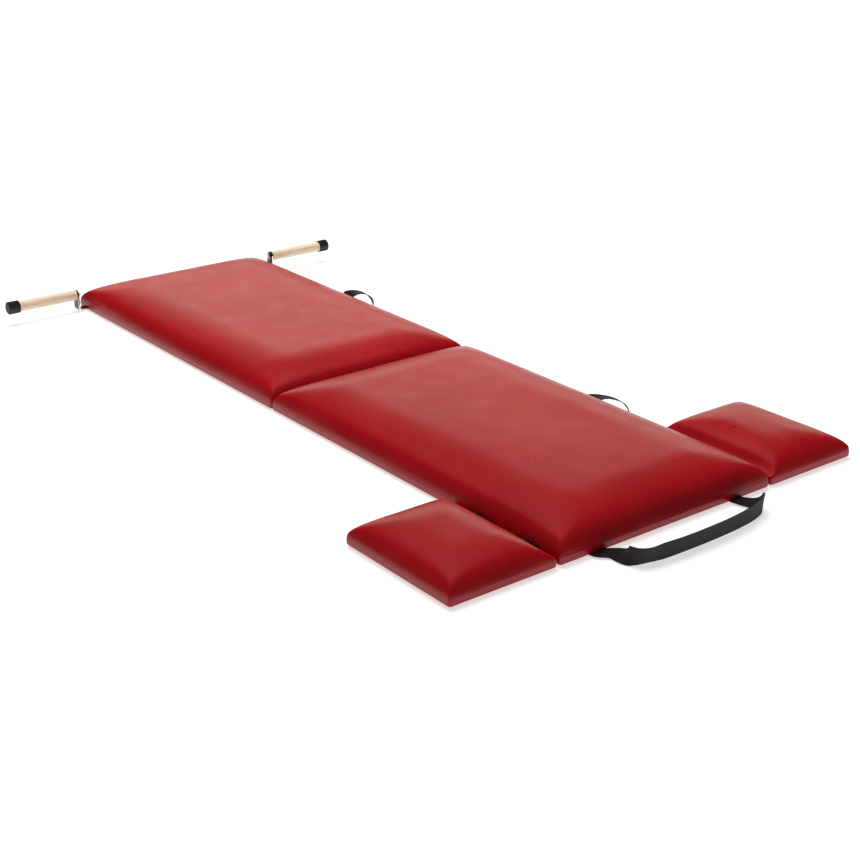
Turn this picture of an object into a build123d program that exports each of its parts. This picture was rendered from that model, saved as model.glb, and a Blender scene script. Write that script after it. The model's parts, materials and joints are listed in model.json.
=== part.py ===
from build123d import *
import os
from math import cos, exp, radians, sin

# A low padded mat in two halves that fold bottoms together, with two hinged side wings, two wooden
# hand grips on steel arms, a foot strap and two carry loops. Millimetres. X runs across the mat, Y
# towards the grip end, Z up from the floor. The layout is drawn from the centre fold, and every
# piece is then moved along Y so that the origin is the middle of the whole footprint.

# ---- driving dimensions -------------------------------------------------------------------------
MAT_WIDTH = 550.0
HALF_LENGTH = 943.0          # from the fold to either end
FOLD_GAP = 3.0               # between the two halves
WING_WIDTH = 242.0           # along X
WING_LENGTH = 303.0          # along Y
WING_GAP = 6.0               # between a wing and the foot half

FOOT_HEIGHT = 5.0            # rubber feet, and so the clear height under the boards
DUST_COVER = 0.6
BAND_TOP = 20.0              # top of the boards, where the crown starts
SKIN = 1.0                   # upholstery vinyl
CORNER_RADIUS = 6.0
CROWN_EDGE_DEPTH = 10.0      # how quickly the foam's rounded edge gains its height
PAD_EDGE = 26.0              # height that a large pad's rounded edge gains
PAD_RISE = 50.0              # top of a large pad above its board
PAD_DOME = 135.0             # how far in from the edge a large pad keeps rising
WING_EDGE = 20.0
WING_RISE = 38.0
WING_DOME = 100.0
WING_EASE = 15.0             # a wing's hinge side slopes more gently, to fold up beside the pad

FOLD_KNUCKLE_RADIUS = 2.4    # the centre hinge rests on the floor
LEAF = 1.2
LEAF_REACH = 26.0
FOLD_PIN_RADIUS = 1.0
PIN_CLEARANCE = 0.05

WING_KNUCKLE_RADIUS = 2.5
WING_PIN_RADIUS = 1.2
WING_AXIS_HEIGHT = 20.5
WING_LEAF_DROP = 13.5
WING_HINGE_LENGTH = 60.0
WING_HINGE_INSET = 55.0      # of each hinge from the wing's end

GRIP_Y = 910.0
GRIP_HEIGHT = 45.0
GRIP_RADIUS = 14.0
GRIP_LENGTH = 172.0
CAP_RADIUS = 16.5
CAP_LENGTH = 30.0
CAP_WALL = 2.4
CAP_COVER = 14.0             # length of wood inside a cap
ARM_FACE_X = 300.6           # outer face of the upright, against the grip
ARM_THICK = 5.0
ARM_WIDE = 26.0
ARM_BOTTOM = 3.0
ARM_INNER_X = 150.0
ARM_BEND = 8.0
GRIP_BOLT_RADIUS = 3.0
BOLT_IN_WOOD = 90.0
WASHER = 1.2
HOLE_CLEARANCE = 0.06        # round screws

WEB = 1.6                    # webbing thickness
STRAP_WIDE = 36.0
STRAP_REACH = 94.0           # of the strap's middle line beyond the end of the mat
STRAP_LEAN = 10.0            # outwards, in degrees, where it stands on its edge
STRAP_LOW = 0.6              # of its lower edge above the floor
LOOP_WIDE = 28.0
LOOP_Y = {"foot": -471.0, "head": 471.0}
LOOP_TALL = {"foot": 1.0, "head": 1.2}    # how far each loop is pulled up
TAB_LENGTH = 42.0
PLATE = 0.8

HALF_WIDTH = MAT_WIDTH / 2
WING_INNER = HALF_WIDTH + WING_GAP
WING_OUTER = WING_INNER + WING_WIDTH
WING_AXIS_X = HALF_WIDTH + WING_GAP / 2
STRAP_TIP = STRAP_WIDE / 2 * sin(radians(STRAP_LEAN)) + WEB / 2 * cos(radians(STRAP_LEAN))
SHIFT_Y = (STRAP_REACH + STRAP_TIP) / 2    # moves the fold so that the footprint is centred on the origin

written = []


def out(name, *solids):
    """Moves the solids to the final frame and writes them as one node."""
    moved = [Pos(0, SHIFT_Y, 0) * solid for piece in solids for solid in piece.solids()]
    export_step(moved[0] if len(moved) == 1 else Compound(moved), f"parts/{name}.step")
    written.append(name)


def box(x0, x1, y0, y1, z0, z1):
    """A box between two corners, given in any order."""
    centre = ((x0 + x1) / 2, (y0 + y1) / 2, (z0 + z1) / 2)
    return Pos(*centre) * Box(abs(x1 - x0), abs(y1 - y0), abs(z1 - z0))


def rod(radius, start, end, hole=0.0):
    """A round rod, or a tube, between two points on a line."""
    a, b = Vector(*start), Vector(*end)
    plane = Plane(origin=a, z_dir=b - a)
    disc = Circle(radius) - Circle(hole) if hole else Circle(radius)
    return extrude(plane * disc, (b - a).length)


def plate(x0, x1, y0, y1, z0, z1, radius, inset=0.0):
    """A flat slab with rounded corners, drawn in by an inset on every side."""
    wide, long = x1 - x0 - 2 * inset, y1 - y0 - 2 * inset
    outline = RectangleRounded(wide, long, max(radius - inset, 0.5))
    return Pos((x0 + x1) / 2, (y0 + y1) / 2, z0) * extrude(outline, z1 - z0)


def crown_height(inset, edge, rise, dome):
    """The foam's height above the board, at a distance in from the nearest edge."""
    rounded = edge * (1 - exp(-inset / CROWN_EDGE_DEPTH))
    return rounded + (rise - edge) * (1 - (1 - inset / dome) ** 2.2)


def crown(rect, edge, rise, dome, eased=0, shrink=0.0):
    """The foam's crowned form above the board, as rings that step in while they rise. The eased
    side, -1 for low X and 1 for high X, slopes more gently."""
    x0, x1, y0, y1 = rect
    rings = []
    for inset in (0, 2, 5, 9, 14, 22, 34, 50, 70, dome):
        ease = WING_EASE * (1 - exp(-inset / 3)) * exp(-inset / 60)
        low_x = x0 + inset + shrink + (ease if eased < 0 else 0)
        high_x = x1 - inset - shrink - (ease if eased > 0 else 0)
        wide, long = high_x - low_x, y1 - y0 - 2 * (inset + shrink)
        radius = min(CORNER_RADIUS + 0.4 * inset - shrink, 0.45 * min(wide, long))
        height = BAND_TOP + crown_height(inset, edge, rise, dome) * (1 - shrink / rise)
        place = Pos((low_x + high_x) / 2, (y0 + y1) / 2, height)
        rings.append(place * RectangleRounded(wide, long, radius))
    return loft(rings, ruled=True)


def screw(x, y, low, top=16.0, head=3.6, shank=1.75):
    """A countersunk screw driven up into a board, with its flat head's face at the low height."""
    taper = head - shank
    cone = Pos(x, y, low + taper / 2) * Cone(head, shank, taper)
    return cone + Pos(x, y, (low + taper + top) / 2) * Cylinder(shank, top - low - taper)


def screw_hole(x, y, low, top=16.2):
    """The hole for that screw, a little larger all round."""
    return screw(x, y, low, top, 3.6 + HOLE_CLEARANCE, 1.75 + HOLE_CLEARANCE)


# ---- pads ---------------------------------------------------------------------------------------

PADS = {
    "foot": (-HALF_WIDTH, HALF_WIDTH, -HALF_LENGTH, -FOLD_GAP / 2),
    "head": (-HALF_WIDTH, HALF_WIDTH, FOLD_GAP / 2, HALF_LENGTH),
    "left_wing": (-WING_OUTER, -WING_INNER, -HALF_LENGTH, -HALF_LENGTH + WING_LENGTH),
    "right_wing": (WING_INNER, WING_OUTER, -HALF_LENGTH, -HALF_LENGTH + WING_LENGTH),
}

FEET = {
    "foot": [(x, y) for x in (-238, 238) for y in (-70, -330, -620, -868)],
    "head": [(x, y) for x in (-205, 205) for y in (70, 360, 650, 868)],
    "left_wing": [(x, y) for x in (-495, -310) for y in (-915, -668)],
    "right_wing": [(x, y) for x in (495, 310) for y in (-915, -668)],
}
FOOT_RADIUS = 12.0

cuts = {name: [] for name in PADS}      # screws and grooves taken out of each pad's solids


def write_pad(name, rect, *shape):
    """The board, foam, vinyl cover, dust cover and rubber feet of one pad."""
    bottom = FOOT_HEIGHT
    board = plate(*rect, bottom + DUST_COVER, BAND_TOP, CORNER_RADIUS, SKIN)
    dust = plate(*rect, bottom, bottom + DUST_COVER, CORNER_RADIUS, SKIN)
    foam = crown(rect, *shape, shrink=SKIN)
    shell = plate(*rect, bottom, BAND_TOP, CORNER_RADIUS) + crown(rect, *shape)
    shell = shell - plate(*rect, bottom, BAND_TOP, CORNER_RADIUS, SKIN) - foam
    for cut in cuts[name]:
        board, dust, shell = board - cut, dust - cut, shell - cut
    out(f"{name}_board", board)
    out(f"{name}_dust_cover", dust)
    out(f"{name}_foam", foam)
    out(f"{name}_cover", shell)
    feet = [rod(FOOT_RADIUS, (x, y, 0), (x, y, bottom)) for x, y in FEET[name]]
    out(f"{name}_rubber_feet", *feet)


# ---- centre hinge -------------------------------------------------------------------------------

def centre_hinge():
    """A continuous hinge along the fold: two leaves with alternate knuckles round one pin."""
    radius, count = FOLD_KNUCKLE_RADIUS, 22
    half = HALF_WIDTH - 6
    step = 2 * half / count
    bore = FOLD_PIN_RADIUS + PIN_CLEARANCE
    clear = rod(radius + 0.15, (-half - 1, 0, radius), (half + 1, 0, radius))
    for name, side, first in (("foot", -1, 0), ("head", 1, 1)):
        low = FOOT_HEIGHT - LEAF
        leaf = box(-half, half, 0, side * LEAF_REACH, low, FOOT_HEIGHT)
        flap = leaf - clear
        for i in range(first, count, 2):
            x0, x1 = -half + i * step + 0.1, -half + (i + 1) * step - 0.1
            knuckle = rod(radius, (x0, 0, radius), (x1, 0, radius))
            web = box(x0, x1, 0, side * (radius + 0.6), low, 2 * radius)
            flap = flap + knuckle + web
        flap = flap - rod(bore, (-half - 1, 0, radius), (half + 1, 0, radius))
        places = [(-half + (i + 0.5) * half / 5, side * 16) for i in range(10)]
        screws = [screw(x, y, low) for x, y in places]
        holes = [screw_hole(x, y, low) for x, y in places]
        for hole in holes:
            flap = flap - hole
        cuts[name] += holes
        out(f"fold_hinge_leaf_{name}", flap)
        out(f"fold_hinge_screws_{name}", *screws)
    out("fold_hinge_pin", rod(FOLD_PIN_RADIUS, (-half, 0, radius), (half, 0, radius)))


# ---- wing hinges --------------------------------------------------------------------------------

def side_screw(x, y, z, direction, head=3.2, shank=1.5, long=13.0):
    """A countersunk screw driven along X, with its head's face at x."""
    taper = head - shank
    cone = Plane(origin=(x, y, z), z_dir=(direction, 0, 0)) * Pos(0, 0, taper / 2)
    tip = rod(shank, (x + direction * taper, y, z), (x + direction * long, y, z))
    return cone * Cone(head, shank, taper) + tip


def wing_hinges(side, name):
    """Two butt hinges in the gap beside a wing, their leaves flat on the two boards' edges."""
    axis_x, z = side * WING_AXIS_X, WING_AXIS_HEIGHT
    fixed, moving, pins, fixed_screws, moving_screws = [], [], [], [], []
    far = -HALF_LENGTH + WING_LENGTH - WING_HINGE_INSET
    for y0 in (-HALF_LENGTH + WING_HINGE_INSET, far - WING_HINGE_LENGTH):
        step = WING_HINGE_LENGTH / 5
        ends = (y0 - 0.01, y0 + WING_HINGE_LENGTH + 0.01)
        bore = rod(WING_PIN_RADIUS + PIN_CLEARANCE, (axis_x, ends[0], z), (axis_x, ends[1], z))
        clear = rod(WING_KNUCKLE_RADIUS + 0.15, (axis_x, ends[0], z), (axis_x, ends[1], z))
        for leaves, screws, owner, face, turn, first in (
            (fixed, fixed_screws, "foot", side * HALF_WIDTH, side, 0),
            (moving, moving_screws, f"{name}_wing", side * WING_INNER, -side, 1),
        ):
            inner = face + turn * LEAF
            leaf = box(face, inner, y0, y0 + WING_HINGE_LENGTH, z - WING_LEAF_DROP, z) - clear
            for i in range(first, 5, 2):
                low, high = y0 + i * step + 0.1, y0 + (i + 1) * step - 0.1
                knuckle = rod(WING_KNUCKLE_RADIUS, (axis_x, low, z), (axis_x, high, z))
                web = box(face + turn * 0.5, inner + turn * 0.4, low, high, z - 3.2, z)
                leaf = leaf + (knuckle + web)
            leaf = leaf - bore
            for offset in (14, 46):
                place = (inner, y0 + offset, z - 9.0, -turn)
                screws.append(side_screw(*place))
                leaf = leaf - side_screw(*place, 3.2 + HOLE_CLEARANCE, 1.5 + HOLE_CLEARANCE, 13.2)
                cuts[owner].append(
                    side_screw(*place, 3.2 + HOLE_CLEARANCE, 1.5 + HOLE_CLEARANCE, 13.2)
                )
            leaves.append(leaf)
        pins.append(rod(WING_PIN_RADIUS, (axis_x, y0, z), (axis_x, y0 + WING_HINGE_LENGTH, z)))
    out(f"{name}_wing_hinge_fixed_leaves", *fixed)
    out(f"{name}_wing_hinge_moving_leaves", *moving)
    out(f"{name}_wing_hinge_pins", *pins)
    out(f"{name}_wing_hinge_fixed_screws", *fixed_screws)
    out(f"{name}_wing_hinge_moving_screws", *moving_screws)


# ---- hand grips ---------------------------------------------------------------------------------

def grip(side, name):
    """A bent steel arm let into the board, with a wooden grip bolted to its upright."""
    def on_line(x):
        """A point on the grip's centre line."""
        return (side * x, GRIP_Y, GRIP_HEIGHT)

    outer, inner = side * ARM_FACE_X, side * (ARM_FACE_X - ARM_THICK)
    y0, y1 = GRIP_Y - ARM_WIDE / 2, GRIP_Y + ARM_WIDE / 2
    low, flat_top = ARM_BOTTOM, ARM_BOTTOM + ARM_THICK
    flat = box(side * ARM_INNER_X, side * (ARM_FACE_X - ARM_BEND), y0, y1, low, flat_top)
    corner_x, corner_z = side * (ARM_FACE_X - ARM_BEND), ARM_BOTTOM + ARM_BEND
    bend = rod(ARM_BEND, (corner_x, y0, corner_z), (corner_x, y1, corner_z), ARM_BEND - ARM_THICK)
    quarter = box(corner_x, outer, y0, y1, low, corner_z)
    upright = box(inner, outer, y0, y1, corner_z, GRIP_HEIGHT)
    top = rod(ARM_WIDE / 2, (inner, GRIP_Y, GRIP_HEIGHT), (outer, GRIP_Y, GRIP_HEIGHT))
    arm = flat + (bend & quarter) + upright + top
    arm = arm - rod(GRIP_BOLT_RADIUS, on_line(ARM_FACE_X - 10), on_line(ARM_FACE_X + 1))
    places = [(side * x, GRIP_Y, ARM_BOTTOM) for x in (165, 205, 245)]
    holes = [screw_hole(*place) for place in places]
    for hole in holes:
        arm = arm - hole
    groove = box(side * (ARM_INNER_X - 0.2), side * HALF_WIDTH, y0 - 0.1, y1 + 0.1, 0, flat_top)
    cuts["head"] += [groove] + holes
    out(f"{name}_grip_arm", arm)
    out(f"{name}_grip_arm_screws", *[screw(*place) for place in places])

    washer_face = ARM_FACE_X - ARM_THICK
    head_face = washer_face - WASHER
    bolt_end = on_line(ARM_FACE_X + BOLT_IN_WOOD)
    head = rod(6.0, on_line(head_face - 3.3), on_line(head_face))
    shank = rod(GRIP_BOLT_RADIUS, on_line(head_face), bolt_end)
    out(f"{name}_grip_bolt", head + shank)
    washer = rod(8.0, on_line(head_face), on_line(washer_face), GRIP_BOLT_RADIUS)
    out(f"{name}_grip_washer", washer)

    wood_end = ARM_FACE_X + GRIP_LENGTH
    wood = rod(GRIP_RADIUS, on_line(ARM_FACE_X), on_line(wood_end))
    wood = fillet(wood.faces().sort_by(Axis.X)[0 if side > 0 else -1].edges(), 1.5)
    wood = wood - rod(GRIP_BOLT_RADIUS, on_line(ARM_FACE_X - 1), bolt_end)
    out(f"{name}_grip", wood)
    cap_start = wood_end - CAP_COVER
    cap_end = cap_start + CAP_LENGTH
    cap = rod(CAP_RADIUS, on_line(cap_start), on_line(cap_end))
    cap = fillet(cap.faces().sort_by(Axis.X)[-1 if side > 0 else 0].edges(), CAP_WALL)
    cap = cap - rod(GRIP_RADIUS, on_line(cap_start - 1), on_line(wood_end))
    out(f"{name}_grip_end_cap", cap)


# ---- webbing ------------------------------------------------------------------------------------

TAB_MID = FOOT_HEIGHT - WEB / 2       # height of the webbing where it lies under a board
TAB_END = 1.6                         # a fixed tab stops this far beyond the edge
START = 3.0                           # and the free webbing starts here

# The foot strap from above: x, distance beyond the mat's end, heading and roll, in mm and degrees.
# It leaves the mat flat, stands on its edge along the front, and goes back flat the other way up.
STRAP_STATIONS = [
    (-187, START, -90, 0), (-176, 15, -50, 2), (-168, 27, -62, 8), (-167, 40, -84, 26),
    (-170, 54, -92, 54), (-171, 67, -76, 80), (-161, 79, -42, 91), (-141, 86.5, -15, 94),
    (-108, 91, -7, 98), (-66, 93.5, -3, 100), (-20, STRAP_REACH, 0, 90 + STRAP_LEAN), (45, 92.5, 3, 99),
    (100, 88, 7, 96), (140, 81, 14, 92), (168, 72, 20, 90), (181, 65, 50, 93), (185, 60, 78, 106),
    (186, 52, 88, 138), (185, 41, 91, 160), (183, 28, 92, 172), (181, 15, 92, 177),
    (179, START, 90, 180),
]

# A carry loop, from its near anchor to its far one: distance beyond the mat's side, distance along
# the mat from the loop's middle and height, and then the direction of the webbing's width.
LOOP_STATIONS = [
    (START, -64, TAB_MID, (0, 1, 0)), (11, -64, 7, (0.1, 1, 0)), (17, -63, 14, (0.35, 0.92, -0.1)),
    (21, -60, 22, (0.55, 0.8, -0.25)), (24, -53, 31, (0.7, 0.6, -0.38)),
    (25, -40, 38, (0.78, 0.35, -0.5)), (25, -20, 40.5, (0.82, 0.1, -0.53)),
    (24, 2, 39, (0.82, -0.1, -0.5)), (23, 24, 34.5, (0.75, -0.35, -0.42)),
    (22, 42, 28, (0.65, -0.6, -0.35)), (20, 54, 20.5, (0.5, -0.8, -0.25)),
    (16, 61, 13, (0.3, -0.93, -0.12)), (10, 65, 7, (0.1, -1, 0)), (START, 66, TAB_MID, (0, -1, 0)),
]


def ribbon(stations, wide):
    """Webbing lofted through stations of a point, the way ahead and the direction of its width."""
    sections = []
    for point, ahead, across in stations:
        plane = Plane(origin=point, x_dir=across, z_dir=ahead)
        sections.append(plane * Rectangle(wide, WEB))
    return loft(sections, ruled=True)


def strap_station(x, beyond, heading, roll):
    """A place along the foot strap: flat at roll 0 and 180, on its edge at roll 90."""
    ahead = Vector(cos(radians(heading)), sin(radians(heading)), 0)
    side = Vector(-ahead.Y, ahead.X, 0)
    across = side * cos(radians(roll)) + Vector(0, 0, 1) * sin(radians(roll))
    height = TAB_MID + (STRAP_LOW + STRAP_WIDE / 2 - TAB_MID) * sin(radians(roll))
    return Vector(x, -HALF_LENGTH - beyond, height), ahead, across


def anchor(x, y, turn, wide, pad):
    """A tab of webbing under a board, with a clamp plate and two screws. It runs in from the edge
    point (x, y), against the direction that turn gives in degrees."""
    place = Pos(x, y, 0) * Rot(0, 0, turn)
    low = FOOT_HEIGHT - WEB
    inner, middle = -TAB_LENGTH, -TAB_LENGTH + 12
    screws = [screw(middle, dy, low - PLATE, 15.0) for dy in (-9, 9)]
    holes = [screw_hole(middle, dy, low - PLATE, 15.2) for dy in (-9, 9)]
    tab = box(inner, TAB_END, -wide / 2, wide / 2, low, FOOT_HEIGHT)
    clamp = box(middle - 9, middle + 9, -wide / 2, wide / 2, low - PLATE, low)
    for hole in holes:
        tab, clamp = tab - hole, clamp - hole
        cuts[pad].append(place * hole)
    return place * tab, place * clamp, [place * s for s in screws]


def write_webbing(name, stations, wide, ends):
    """The free webbing, its two fixed tabs, and their clamp plates and screws."""
    out(name, ribbon(stations, wide))
    out(f"{name}_tabs", *[tab for tab, clamp, screws in ends])
    out(f"{name}_plates", *[clamp for tab, clamp, screws in ends])
    out(f"{name}_screws", *[one for tab, clamp, screws in ends for one in screws])


def foot_strap():
    """The strap across the end of the foot half."""
    stations = [strap_station(*row) for row in STRAP_STATIONS]
    ends = [anchor(row[0], -HALF_LENGTH, -90, STRAP_WIDE, "foot") for row in
            (STRAP_STATIONS[0], STRAP_STATIONS[-1])]
    write_webbing("foot_strap", stations, STRAP_WIDE, ends)


def carry_loop(pad):
    """A short arch of webbing on the right long side, turned so that its flat leans outwards."""
    points, widths = [], []
    for beyond, along, height, width in LOOP_STATIONS:
        lifted = TAB_MID + (height - TAB_MID) * LOOP_TALL[pad]
        points.append(Vector(HALF_WIDTH + beyond, LOOP_Y[pad] + along, lifted))
        widths.append(Vector(*width))
    last = len(points) - 1
    stations = []
    for i, (point, width) in enumerate(zip(points, widths)):
        ahead = (points[min(i + 1, last)] - points[max(i - 1, 0)]).normalized()
        if i in (0, last):
            ahead = Vector(1 if i == 0 else -1, 0, 0)
        across = (width - ahead * width.dot(ahead)).normalized()
        stations.append((point, ahead, across))
    ends = [anchor(HALF_WIDTH, LOOP_Y[pad] + row[1], 0, LOOP_WIDE, pad) for row in
            (LOOP_STATIONS[0], LOOP_STATIONS[-1])]
    write_webbing(f"carry_loop_{pad}", stations, LOOP_WIDE, ends)


os.makedirs("parts", exist_ok=True)
centre_hinge()
for side, name in ((-1, "left"), (1, "right")):
    wing_hinges(side, name)
    grip(side, name)
foot_strap()
for pad in LOOP_Y:
    carry_loop(pad)
for pad in ("foot", "head"):
    write_pad(pad, PADS[pad], PAD_EDGE, PAD_RISE, PAD_DOME)
for eased, wing in ((1, "left_wing"), (-1, "right_wing")):
    write_pad(wing, PADS[wing], WING_EDGE, WING_RISE, WING_DOME, eased)
print(len(written), "nodes")
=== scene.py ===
import json
from math import cos, pi, radians, sin

import bpy
import numpy as np
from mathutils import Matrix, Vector, noise

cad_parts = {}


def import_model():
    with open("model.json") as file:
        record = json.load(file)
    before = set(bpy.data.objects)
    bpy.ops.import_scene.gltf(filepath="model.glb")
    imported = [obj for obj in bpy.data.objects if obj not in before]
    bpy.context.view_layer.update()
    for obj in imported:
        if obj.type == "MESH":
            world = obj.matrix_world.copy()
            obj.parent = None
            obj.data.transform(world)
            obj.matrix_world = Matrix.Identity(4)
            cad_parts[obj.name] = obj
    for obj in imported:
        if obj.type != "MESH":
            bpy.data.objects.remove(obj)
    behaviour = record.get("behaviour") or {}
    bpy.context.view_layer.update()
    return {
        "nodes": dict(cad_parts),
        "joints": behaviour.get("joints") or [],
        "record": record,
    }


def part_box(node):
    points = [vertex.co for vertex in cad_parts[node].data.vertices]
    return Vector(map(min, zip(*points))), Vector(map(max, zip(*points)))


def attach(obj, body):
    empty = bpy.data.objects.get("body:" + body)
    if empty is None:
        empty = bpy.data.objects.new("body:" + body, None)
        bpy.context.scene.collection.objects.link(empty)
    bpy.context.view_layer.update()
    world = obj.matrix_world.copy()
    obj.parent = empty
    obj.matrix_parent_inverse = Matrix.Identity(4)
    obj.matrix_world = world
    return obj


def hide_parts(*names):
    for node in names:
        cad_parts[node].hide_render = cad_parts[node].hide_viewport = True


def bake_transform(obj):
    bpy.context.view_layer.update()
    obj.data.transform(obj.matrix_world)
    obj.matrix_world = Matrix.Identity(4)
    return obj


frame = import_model()
MM = 0.001

JOINTS = {joint["name"]: joint for joint in frame["joints"]}
FOLD_Y = JOINTS["centre_fold"]["pos_m"][1]
PADS = {"foot": "foot_half", "head": "head_half", "left_wing": "left_wing", "right_wing": "right_wing"}


# ---- node materials -----------------------------------------------------------------------------

WARP_PITCH = 0.0022            # webbing: between the fine lines along it, in metres
RIB_PITCH = 0.0018             # webbing: between the ribs across it, in metres


class Shader:
    """A Principled material with helpers that keep the node code short."""

    def __init__(self, name, colour, roughness, metallic=0.0, **sockets):
        self.material = bpy.data.materials.new(name)
        self.material.use_nodes = True
        self.tree = self.material.node_tree
        self.bsdf = self.tree.nodes["Principled BSDF"]
        self.set("Base Color", (*colour, 1))
        self.set("Roughness", roughness)
        self.set("Metallic", metallic)
        for socket, value in sockets.items():
            self.set(socket.replace("_", " "), value)

    def set(self, socket, value):
        self.bsdf.inputs[socket].default_value = value

    def node(self, kind, **values):
        """A new node. Names with a capital are its input sockets, and the rest its properties."""
        made = self.tree.nodes.new("ShaderNode" + kind)
        for key, value in values.items():
            if key[0].isupper():
                made.inputs[key.replace("_", " ")].default_value = value
            else:
                setattr(made, key, value)
        return made

    def link(self, source, target):
        self.tree.links.new(source, target)

    def coords(self, scale=(1, 1, 1)):
        place = self.node("TexCoord")
        stretch = self.node("Mapping", Scale=scale)
        self.link(place.outputs["Object"], stretch.inputs["Vector"])
        return stretch.outputs["Vector"]

    def noise(self, scale, detail=3.0, where=None, **values):
        made = self.node("TexNoise", Scale=scale, Detail=detail, **values)
        self.link(where or self.coords(), made.inputs["Vector"])
        return made.outputs["Fac"]

    def ramp(self, source, stops):
        """A colour ramp of (position, colour or grey) stops."""
        made = self.node("ValToRGB")
        elements = made.color_ramp.elements
        while len(elements) < len(stops):
            elements.new(0.5)
        for element, (at, value) in zip(elements, stops):
            colour = value if isinstance(value, tuple) else (value,) * 3
            element.position, element.color = at, (*colour, 1)
        self.link(source, made.inputs["Fac"])
        return made.outputs["Color"]

    def maths(self, operation, first, second=None):
        made = self.node("Math", operation=operation)
        for index, value in enumerate((first, second)):
            if value is None:
                continue
            if isinstance(value, (int, float)):
                made.inputs[index].default_value = value
            else:
                self.link(value, made.inputs[index])
        return made.outputs[0]

    def bump(self, height, strength, distance, below=None):
        made = self.node("Bump", Strength=strength, Distance=distance)
        self.link(height, made.inputs["Height"])
        if below is not None:
            self.link(below, made.inputs["Normal"])
        return made.outputs["Normal"]

    def normal(self, source):
        self.link(source, self.bsdf.inputs["Normal"])

    def colour(self, source):
        self.link(source, self.bsdf.inputs["Base Color"])

    def roughness(self, source):
        self.link(source, self.bsdf.inputs["Roughness"])


def vinyl():
    """Satin red upholstery vinyl: pebbled grain, slow mottling and a little uneven gloss."""
    s = Shader("red_vinyl", (0.34, 0.003, 0.006), 0.30, Specular_IOR_Level=0.4)
    s.colour(s.ramp(s.noise(7, 4), [(0.3, (0.31, 0.0015, 0.005)), (0.7, (0.37, 0.003, 0.007))]))
    s.roughness(s.ramp(s.noise(16, 5), [(0.3, 0.27), (0.72, 0.34)]))
    cells = s.node("TexVoronoi", Scale=900.0, feature="SMOOTH_F1")
    s.link(s.coords(), cells.inputs["Vector"])
    grain = s.bump(cells.outputs["Distance"], 0.12, 0.0002)
    s.normal(s.bump(s.noise(28, 3), 0.10, 0.0012, grain))
    return s.material


def webbing():
    """Black woven webbing: close ribs across it, fine warp lines along it, a soft fibre sheen, and
    painted shade darkening the grooves between the ribs.
    """
    s = Shader("webbing", (0.012, 0.011, 0.011), 0.8, Sheen_Weight=0.06, Sheen_Roughness=0.5)
    place = s.node("UVMap", uv_map="UVMap")
    split = s.node("SeparateXYZ")
    s.link(place.outputs["UV"], split.inputs["Vector"])
    across, along = split.outputs["X"], split.outputs["Y"]
    warp = s.maths("SINE", s.maths("MULTIPLY", across, 2 * pi / WARP_PITCH))
    rows = s.maths("MULTIPLY", along, 2 * pi / RIB_PITCH)
    weft = s.maths("SINE", s.maths("ADD", rows, s.maths("MULTIPLY", warp, 1.4)))
    weave = s.maths("MULTIPLY", s.maths("ADD", warp, weft), 0.25)
    # painted shade: the colour follows the weave's height, darker in the grooves and lighter on the ribs
    painted_groove_shade = [(0.1, (0.006, 0.0055, 0.0055)), (0.9, (0.017, 0.015, 0.015))]
    s.colour(s.ramp(s.maths("ADD", weave, 0.5), painted_groove_shade))
    s.normal(s.bump(weave, 0.7, 0.0005))
    return s.material


def beech():
    """Bare sanded beech, its grain along the dowel, with short dark flecks."""
    s = Shader("beech", (0.62, 0.47, 0.31), 0.55)
    grain = s.noise(3.2, 6, s.coords((9, 60, 60)), Distortion=0.6)
    tones = [(0.28, (0.68, 0.52, 0.35)), (0.5, (0.82, 0.66, 0.48)), (0.75, (0.88, 0.75, 0.59))]
    colour = s.ramp(grain, tones)
    flecks = s.ramp(s.noise(6, 2, s.coords((14, 160, 160))), [(0.60, 1.0), (0.70, 0.72)])
    mix = s.node("MixRGB", blend_type="MULTIPLY", Fac=0.6)
    s.link(colour, mix.inputs["Color1"])
    s.link(flecks, mix.inputs["Color2"])
    s.colour(mix.outputs["Color"])
    s.normal(s.bump(grain, 0.25, 0.0004))
    return s.material


def rubber(name, shade, roughness):
    """Moulded rubber with a fine matt skin and a little dust in its tone."""
    s = Shader(name, (shade,) * 3, roughness)
    s.colour(s.ramp(s.noise(60, 4), [(0.3, (shade * 0.8,) * 3), (0.75, (shade * 1.5,) * 3)]))
    s.normal(s.bump(s.noise(900, 2), 0.25, 0.0002))
    return s.material


def polished_steel():
    """Polished steel bar with faint polishing lines and handling haze; its wide faces are painted dark,
    a painted reflection of dark surroundings.
    """
    s = Shader("chromed_steel", (0.72, 0.72, 0.72), 0.12, metallic=1.0)
    s.roughness(s.ramp(s.noise(40, 4), [(0.3, 0.08), (0.75, 0.2)]))
    facing = s.node("SeparateXYZ")
    s.link(s.node("TexCoord").outputs["Normal"], facing.inputs["Vector"])
    # painted reflection: the faces turned along X get a near-black base colour in place of mirroring
    # something dark
    painted_dark_reflection_faces = s.maths("ABSOLUTE", facing.outputs["X"])
    s.colour(s.ramp(painted_dark_reflection_faces, [(0.6, (0.72, 0.71, 0.69)), (0.9, (0.035, 0.033, 0.031))]))
    s.normal(s.bump(s.noise(30, 2, s.coords((1, 60, 4))), 0.06, 0.0002))
    return s.material


def zinc():
    """Zinc-plated steel with a spangled, slightly yellow tone."""
    s = Shader("zinc_steel", (0.55, 0.55, 0.54), 0.38, metallic=1.0)
    s.colour(s.ramp(s.noise(120, 3), [(0.3, (0.48, 0.48, 0.46)), (0.7, (0.62, 0.62, 0.6))]))
    s.roughness(s.ramp(s.noise(300, 2), [(0.3, 0.3), (0.7, 0.48)]))
    return s.material


def black_steel():
    """Black oxide steel, a little worn and oily."""
    s = Shader("black_steel", (0.02, 0.019, 0.018), 0.5, metallic=0.6)
    s.colour(s.ramp(s.noise(90, 4), [(0.35, (0.014, 0.013, 0.013)), (0.8, (0.045, 0.04, 0.036))]))
    return s.material


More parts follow.
